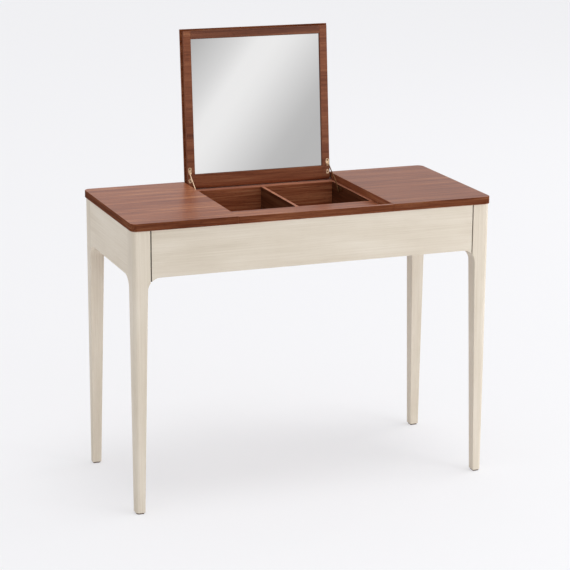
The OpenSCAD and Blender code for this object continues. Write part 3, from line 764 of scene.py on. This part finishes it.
# %% Trees for fasteners
class Recipe(Board):
    """A Geometry Nodes tree that puts one shape on every point of a set."""

    def __init__(self, name, *sizes):
        super().__init__(bpy.data.node_groups.new(name, "GeometryNodeTree"))
        kinds = {"Points": "Geometry", **dict.fromkeys(sizes, "Float")}
        kinds |= {"Seed": "Int", "Finish": "Material"}
        for label, kind in kinds.items():
            self.tree.interface.new_socket(label, in_out="INPUT", socket_type=f"NodeSocket{kind}")
        self.tree.interface.new_socket("Set", in_out="OUTPUT", socket_type="NodeSocketGeometry")
        self.given = self.tree.nodes.new("NodeGroupInput")

    def __getitem__(self, label):
        return Wire(self, self.given.outputs[label])

    def raised(self, shape, height):
        """The shape, moved along Z."""
        up = self.node("ShaderNodeCombineXYZ", inputs={2: height})
        return self.node("GeometryNodeTransform", inputs={"Geometry": shape, "Translation": up})

    def turned(self, sides, foot, *rings):
        """A closed shape that starts at z = 0 and grows by (rise, radius) rings."""
        inputs = {"Vertices": sides, "Radius": foot}
        disc = self.node("GeometryNodeMeshCircle", {"fill_type": "NGON"}, inputs)
        grown, top, radius = disc, True, foot
        for rise, wider in rings:
            up = self.node("ShaderNodeCombineXYZ", inputs={2: rise})
            inputs = {"Mesh": grown, "Selection": top, "Offset": up, "Individual": False}
            pulled = self.node("GeometryNodeExtrudeMesh", inputs=inputs)
            top = Wire(self, pulled.socket.node.outputs["Top"])
            inputs = {"Geometry": pulled, "Selection": top, "Scale": wider / radius}
            grown = self.node("GeometryNodeScaleElements", inputs=inputs)
            radius = wider
        under = self.node("GeometryNodeFlipFaces", inputs={"Mesh": disc})
        both = self.node("GeometryNodeJoinGeometry", inputs={"Geometry": [grown, under]})
        inputs = {"Geometry": both, "Distance": MERGE}
        return self.node("GeometryNodeMergeByDistance", inputs=inputs)

    def eased(self, sides, end, radius, height, ease):
        """A closed round shape that narrows at both ends."""
        rings = ((ease, radius), (height - ease * 2, radius), (ease, end))
        return self.turned(sides, end, *rings)

    def less(self, shape, *tools):
        """The shape with the tools cut out of it."""
        settings = {"operation": "DIFFERENCE", "solver": "EXACT"}
        inputs = {"Mesh 1": shape, "Mesh 2": list(tools)}
        return self.node("GeometryNodeMeshBoolean", settings, inputs)

    def drilled(self, shape, sides, bore, height):
        """The shape with a round hole all the way through it."""
        drill = self.turned(sides, bore, (height * 2, bore))
        return self.less(shape, self.raised(drill, height * -0.5))

    def thread(self, core, crest, pitch, length):
        """A helical ridge from z = 0 up, on a core, with its crest at the given radius."""
        settings, inputs = {"mode": "RADIUS"}, {"Resolution": 4, "Radius": crest - core}
        ridge = self.node("GeometryNodeCurvePrimitiveCircle", settings, inputs)
        inputs = {"Resolution": 14, "Rotations": length / pitch, "Height": length}
        inputs |= {"Start Radius": core, "End Radius": core}
        path = self.node("GeometryNodeCurveSpiral", inputs=inputs)
        inputs = {"Curve": path, "Profile Curve": ridge, "Fill Caps": True}
        return self.node("GeometryNodeCurveToMesh", inputs=inputs)

    def finish(self, *shapes):
        """Puts the joined shapes, with their tops at z = 0, on the points."""
        shape = self.node("GeometryNodeJoinGeometry", inputs={"Geometry": list(shapes)})
        turn = self.node("GeometryNodeInputMeshEdgeAngle")
        settings = {"operation": "GREATER_THAN"}
        crease = self.node("FunctionNodeCompare", settings, {0: turn, 1: SHARP})
        shape = self.node("GeometryNodeSetShadeSmooth", inputs={"Geometry": shape})
        inputs = {"Geometry": shape, "Selection": crease, "Shade Smooth": False}
        shape = self.node("GeometryNodeSetShadeSmooth", {"domain": "EDGE"}, inputs)
        settings = {"data_type": "FLOAT_VECTOR"}
        toward = self.node("GeometryNodeInputNamedAttribute", settings, {"Name": "toward"})
        looks = self.node("FunctionNodeAlignRotationToVector", {"axis": "Z"}, {"Vector": toward})
        inputs = {2: 0.0, 3: math.tau, "Seed": self["Seed"]}
        spin = self.node("FunctionNodeRandomValue", {"data_type": "FLOAT"}, inputs, 1)
        inputs = {"Axis": (0, 0, 1), "Angle": spin}
        spun = self.node("FunctionNodeAxisAngleToRotation", inputs=inputs)
        inputs = {"Rotation": looks, "Rotate By": spun}
        looks = self.node("FunctionNodeRotateRotation", {"rotation_space": "LOCAL"}, inputs)
        inputs = {"Points": self["Points"], "Instance": shape, "Rotation": looks}
        copies = self.node("GeometryNodeInstanceOnPoints", inputs=inputs)
        made = self.node("GeometryNodeRealizeInstances", inputs={"Geometry": copies})
        inputs = {"Geometry": made, "Material": self["Finish"]}
        made = self.node("GeometryNodeSetMaterial", inputs=inputs)
        self.tree.links.new(made.socket, self.tree.nodes.new("NodeGroupOutput").inputs[0])
        print(self.tree.name, "has", len(self.tree.nodes), "nodes")
        return self.tree


print("recipe steps:", [step for step in vars(Recipe) if not step.startswith("_")])

# %% [markdown]
# A wood screw is a core with a thread, a head, and a cross cut into the head. The same tree
# makes both heads: a countersunk head widens from the shank all the way up, and a pan head is
# as wide at its underside as at its rim. The rim is rounded with two narrow rings.


# %% Screws
def screw_recipe():
    """A cross-headed wood screw whose head looks along Z."""
    sizes = ("Head Radius", "Under Radius", "Head Height", "Shank Radius", "Pitch", "Length")
    screw = Recipe("cross_headed_screw", *sizes)
    head, under, high, shank, pitch, length = (screw[label] for label in sizes)
    core, tip = shank * 0.74, shank * 1.6
    ease = high * 0.2
    body = screw.turned(
        32,
        shank * 0.12,
        (tip, core),
        (length - tip - high, core),
        (0.0, under),
        (high - ease * 2, head),
        (ease * 1.4, head * 0.95),
        (ease * 0.6, head * 0.80),
    )
    body = screw.raised(body, 0.0 - length)
    arms = [(head * 1.15, head * 0.26), (head * 0.26, head * 1.15)]
    cuts = []
    for wide, deep in arms:
        size = screw.node("ShaderNodeCombineXYZ", inputs={0: wide, 1: deep, 2: high * 1.1})
        cuts.append(screw.node("GeometryNodeMeshCube", inputs={"Size": size}))
    ridge = screw.thread(core, shank, pitch, length - tip - high)
    return screw.finish(screw.less(body, *cuts), screw.raised(ridge, tip - length))


SCREW = screw_recipe()

# %% [markdown]
# The nut is a six-sided prism whose corners are turned off, with a bore, and the washer is a
# flat ring. The bolt is a threaded rod with eased ends, and the dowel is a beech pin with
# grooves that let the glue out.


# %% Nuts, washers, bolts and dowels
def nut_recipe():
    """A hexagonal nut with turned corners."""
    nut = Recipe("hexagonal_nut", "Radius", "Height", "Bore")
    radius, high = nut["Radius"], nut["Height"]
    prism = nut.turned(6, radius, (high, radius))
    lathe = nut.eased(48, radius * 0.88, radius * 1.01, high, high * 0.14)
    settings = {"operation": "INTERSECT", "solver": "EXACT"}
    both = nut.node("GeometryNodeMeshBoolean", settings, {"Mesh 2": [prism, lathe]})
    return nut.finish(nut.raised(nut.drilled(both, 32, nut["Bore"], high), 0.0 - high))


def washer_recipe():
    """A flat ring with eased edges."""
    washer = Recipe("washer", "Radius", "Height", "Bore")
    radius, high = washer["Radius"], washer["Height"]
    ease = high * 0.2
    disc = washer.eased(48, radius - ease, radius, high, ease)
    ring = washer.drilled(disc, 48, washer["Bore"], high)
    return washer.finish(washer.raised(ring, 0.0 - high))


def bolt_recipe():
    """A threaded rod with eased ends."""
    bolt = Recipe("threaded_rod", "Radius", "Pitch", "Length")
    radius, pitch, length = bolt["Radius"], bolt["Pitch"], bolt["Length"]
    core = radius - pitch * 0.5
    rod = bolt.eased(32, core * 0.8, core, length, pitch)
    ridge = bolt.thread(core, radius, pitch, length - pitch * 2)
    return bolt.finish(bolt.raised(rod, 0.0 - length), bolt.raised(ridge, pitch - length))


def dowel_recipe():
    """A beech pin with chamfered ends and grooves along it."""
    dowel = Recipe("grooved_dowel", "Radius", "Length")
    radius, length = dowel["Radius"], dowel["Length"]
    ease = radius * 0.3
    pin = dowel.eased(36, radius - ease, radius, length, ease)
    grooves, cuts = 6, []
    for i in range(grooves):
        angle = math.tau * i / grooves
        groove = dowel.turned(4, radius * 0.16, (length * 2, radius * 0.16))
        inputs = {0: radius * math.cos(angle), 1: radius * math.sin(angle), 2: length * -0.5}
        across = dowel.node("ShaderNodeCombineXYZ", inputs=inputs)
        inputs = {"Geometry": groove, "Translation": across}
        cuts.append(dowel.node("GeometryNodeTransform", inputs=inputs))
    return dowel.finish(dowel.raised(dowel.less(pin, *cuts), 0.0 - length))


NUT, WASHER, BOLT, DOWEL = nut_recipe(), washer_recipe(), bolt_recipe(), dowel_recipe()
print("trees:", SCREW.name, NUT.name, WASHER.name, BOLT.name, DOWEL.name)

# %% [markdown]
# Now each set gets its points, its tree and its sizes. The radii and the length are measured on
# the CAD solids, and only what those don't tell is written here, such as a pitch or the height
# of a head. A point mesh brings an empty material slot along, which is taken off at the end.


# %% Sets of fasteners
def fastener_set(node, name, tree, material, seed, sizes):
    """Puts a tree's shape where the solids of a CAD node are, and makes one mesh of them."""
    spindles = [spindle(part) for part in loose_parts(node)]
    mesh = bpy.data.meshes.new(name)
    mesh.from_pydata([place for place, *_ in spindles], [], [])
    toward = mesh.attributes.new("toward", "FLOAT_VECTOR", "POINT")
    toward.data.foreach_set("vector", np.ravel([way for _, way, *_ in spindles]))
    piece = bpy.data.objects.new(name, mesh)
    bpy.context.scene.collection.objects.link(piece)
    length, wide, narrow = spindles[0][2:]
    measured = {"Length": length, "Height": length, "Radius": wide, "Head Radius": wide}
    measured |= {"Shank Radius": narrow, "Bore": narrow, "Seed": seed, "Finish": material}
    grower = piece.modifiers.new("fasteners", "NODES")
    grower.node_group = tree
    for item in tree.interface.items_tree:
        if item.in_out == "INPUT" and item.name != "Points":
            grower[item.identifier] = {**measured, **sizes}[item.name]
    settle(piece).data.materials.pop(index=0)
    print(name, len(spindles), "pieces", round(length / MM, 1), "mm long")
    return stands_for(piece, node)


PAN = {"Head Height": 0.8 * MM, "Under Radius": 2.2 * MM, "Pitch": 0.9 * MM}
COUNTERSUNK = {"Head Height": 1.6 * MM, "Under Radius": 1.2 * MM, "Pitch": 0.9 * MM}
WOOD_SCREW = {"Head Height": 2.4 * MM, "Under Radius": 3.8 * MM, "Pitch": 1.8 * MM}
fastener_set("leaf_screws", "leaf_screw_set", SCREW, SHADED_BRASS, 11, COUNTERSUNK)
fastener_set("bracket_screws", "bracket_screw_set", SCREW, SHADED_BRASS, 12, PAN)
fastener_set("top_screws", "top_screw_set", SCREW, STEEL, 13, WOOD_SCREW)
fastener_set("ledge_screws", "ledge_screw_set", SCREW, STEEL, 14, WOOD_SCREW)
fastener_set("hanger_nuts", "hanger_nut_set", NUT, STEEL, 15, {})
fastener_set("hanger_washers", "hanger_washer_set", WASHER, STEEL, 16, {})
fastener_set("hanger_bolts", "hanger_bolt_set", BOLT, STEEL, 17, {"Pitch": 1.25 * MM})
fastener_set("apron_dowels", "apron_dowel_set", DOWEL, RAW_WOOD, 18, {})

# %% [markdown]
# The studio is a pale floor under an even white sky. For the camera, nearly half of the floor's
# colour comes from a plain pale tone, which thins the shadow as fill light would. The sky is
# full white for the camera, a little darker where something mirrors it, and darker still as a
# light, so that colours come out as they are written.

# %% Floor and sky
PALE = srgb(243, 243, 245)
SHADOW_FILL = 0.48
FILL_GLOW = 1.10
SKY_LIGHT, SKY_MIRRORED, SKY_SEEN = 0.69, 0.80, 1.0


def floor_finish():
    """A pale floor whose shadow is softened for the camera."""
    finish = Finish("studio_floor")
    finish.shade(base_color=(*PALE, 1), roughness=0.9)
    seen = finish.node("ShaderNodeLightPath", output="Is Camera Ray")
    glow = finish.node("ShaderNodeEmission", inputs={"Color": (*PALE, 1), "Strength": FILL_GLOW})
    inputs = {0: seen * SHADOW_FILL, 1: Wire(finish, finish.shader.outputs[0]), 2: glow}
    mixed = finish.node("ShaderNodeMixShader", inputs=inputs)
    target = finish.tree.nodes["Material Output"].inputs["Surface"]
    finish.tree.links.new(mixed.socket, target)
    return finish.material


def sheet_of(name, corners, material):
    """A flat stage piece with four corners."""
    mesh = bpy.data.meshes.new(name)
    mesh.from_pydata(corners, [], [range(len(corners))])
    mesh.materials.append(material)
    made = bpy.data.objects.new(name, mesh)
    bpy.context.scene.collection.objects.link(made)
    return made


REACH = 60.0
corners = [(x * REACH, y * REACH, 0) for x, y in ((-1, -1), (1, -1), (1, 1), (-1, 1))]
sheet_of("studio_floor", corners, floor_finish())

world = bpy.data.worlds.new("studio_sky")
bpy.context.scene.world = world
world.use_nodes = True
sky = Board(world.node_tree)
glossy = sky.node("ShaderNodeLightPath", output="Is Glossy Ray")
seen = sky.node("ShaderNodeLightPath", output="Is Camera Ray")
light = SKY_LIGHT + glossy * (SKY_MIRRORED - SKY_LIGHT)
backdrop = sky.tree.nodes["Background"]
sky.feed(backdrop.inputs["Color"], (*PALE, 1))
sky.feed(backdrop.inputs["Strength"], light + seen * (SKY_SEEN - light))
print("floor and sky are", [round(c, 2) for c in PALE])

# %% [markdown]
# A sun with a wide disc stands nearly overhead and makes the soft shadow under the table. Three
# wide lamps stand round it. The one low at the front right stands nearest and gives the most,
# the large one at the right is far off, and the left one is weak. So the front grows lighter
# from left to right.

# %% Lamps
TARGET = Vector((0, 0, 0.5))


def lamp(name, kind, place, energy, **settings):
    """A lamp that points at the middle of the table."""
    made = bpy.data.objects.new(name, bpy.data.lights.new(name, kind))
    bpy.context.scene.collection.objects.link(made)
    made.data.energy = energy
    for key, value in settings.items():
        setattr(made.data, key, value)
    made.location = place
    made.rotation_euler = (made.location - TARGET).to_track_quat("Z", "Y").to_euler()
    print(name, [round(c, 1) for c in place], energy)


lamp("overhead", "SUN", (0.4, -0.5, 4.5), energy=0.72, angle=math.radians(26))
lamp("front_right", "AREA", (2.9, -2.9, 0.9), energy=44, size=1.6)
lamp("right", "AREA", (7.0, 0.5, 3.2), energy=125, size=5.0)
lamp("left", "AREA", (-6.5, -2.0, 2.8), energy=20, size=4.0)

# %% [markdown]
# A mirror needs something to show. A card behind the camera is bright along a slanting band and
# falls off to grey, and only glossy rays see it. To place it, the camera is mirrored in the
# glass. A line from that mirrored camera through a corner of the glass goes on to the spot on
# the card which the camera sees there.

# %% Card that the mirror shows
CARD_BACK = 1.2
CARD_FOOT = 0.02
HALF_CARD = (3.0, 2.2)
BAND_ACROSS, BAND_DOWN = 0.62, 0.49
GLOWS = (
    (0.0, 0.46),
    (0.22, 0.71),
    (0.33, 0.88),
    (0.42, 0.885),
    (0.51, 0.83),
    (0.79, 0.54),
    (0.9, 0.50),
)


def glass_plane():
    """The middle of the mirror and the direction it faces."""
    faces = frame["nodes"]["mirror_glass"].data.polygons
    face = max(faces, key=lambda f: f.area * (f.normal.y < 0))
    return Vector(face.center), Vector(face.normal)


spot, facing = glass_plane()
glass_low, glass_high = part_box("mirror_glass")
eye = Vector(CAMERA_PLACE)
mirrored_eye = eye - 2 * (eye - spot).dot(facing) * facing
card_y = CAMERA_PLACE[1] - CARD_BACK


def on_card(x, z):
    """Where the camera sees, on the card, the point of the mirror at this x and height."""
    y = spot.y - (Vector((0, 0, z)) - Vector((0, 0, spot.z))).dot(facing) / facing.y
    line = Vector((x, y, z)) - mirrored_eye
    return mirrored_eye + line * (card_y - mirrored_eye.y) / line.y


upper_left = on_card(glass_low.x, glass_high.z)
across = on_card(glass_high.x, glass_high.z) - upper_left
down = on_card(glass_low.x, glass_low.z) - upper_left
SLANT = BAND_ACROSS * across / across.length_squared + BAND_DOWN * down / down.length_squared


def card_finish():
    """A glow that is bright along a slanting band and falls off to both sides."""
    finish = Finish("studio_card")
    place = finish.node("ShaderNodeTexCoord", output=3)
    inputs = {0: place, 1: tuple(upper_left)}
    offset = finish.node("ShaderNodeVectorMath", {"operation": "SUBTRACT"}, inputs)
    inputs = {0: offset, 1: tuple(SLANT)}
    way = finish.node("ShaderNodeVectorMath", {"operation": "DOT_PRODUCT"}, inputs, "Value")
    stops = [(at, (glow,) * 3) for at, glow in GLOWS]
    glow = finish.node("ShaderNodeValToRGB", {"stops": stops}, {0: way})
    light = finish.node("ShaderNodeEmission", inputs={"Color": glow, "Strength": 1.0})
    finish.tree.links.new(light.socket, finish.tree.nodes["Material Output"].inputs["Surface"])
    return finish.material


middle = upper_left + (across + down) / 2
corners = [
    (middle.x + sx * HALF_CARD[0], card_y, max(middle.z + sz * HALF_CARD[1], CARD_FOOT))
    for sx, sz in ((-1, -1), (1, -1), (1, 1), (-1, 1))
]
card = sheet_of("studio_card", corners, card_finish())
for ray in ("camera", "diffuse", "transmission", "volume_scatter", "shadow"):
    setattr(card, f"visible_{ray}", False)
print("card middle:", [round(c, 2) for c in middle])

# %% [markdown]
# The rounded edges only take material away, so the box of the dressed table is never larger
# than the box of the CAD solids.
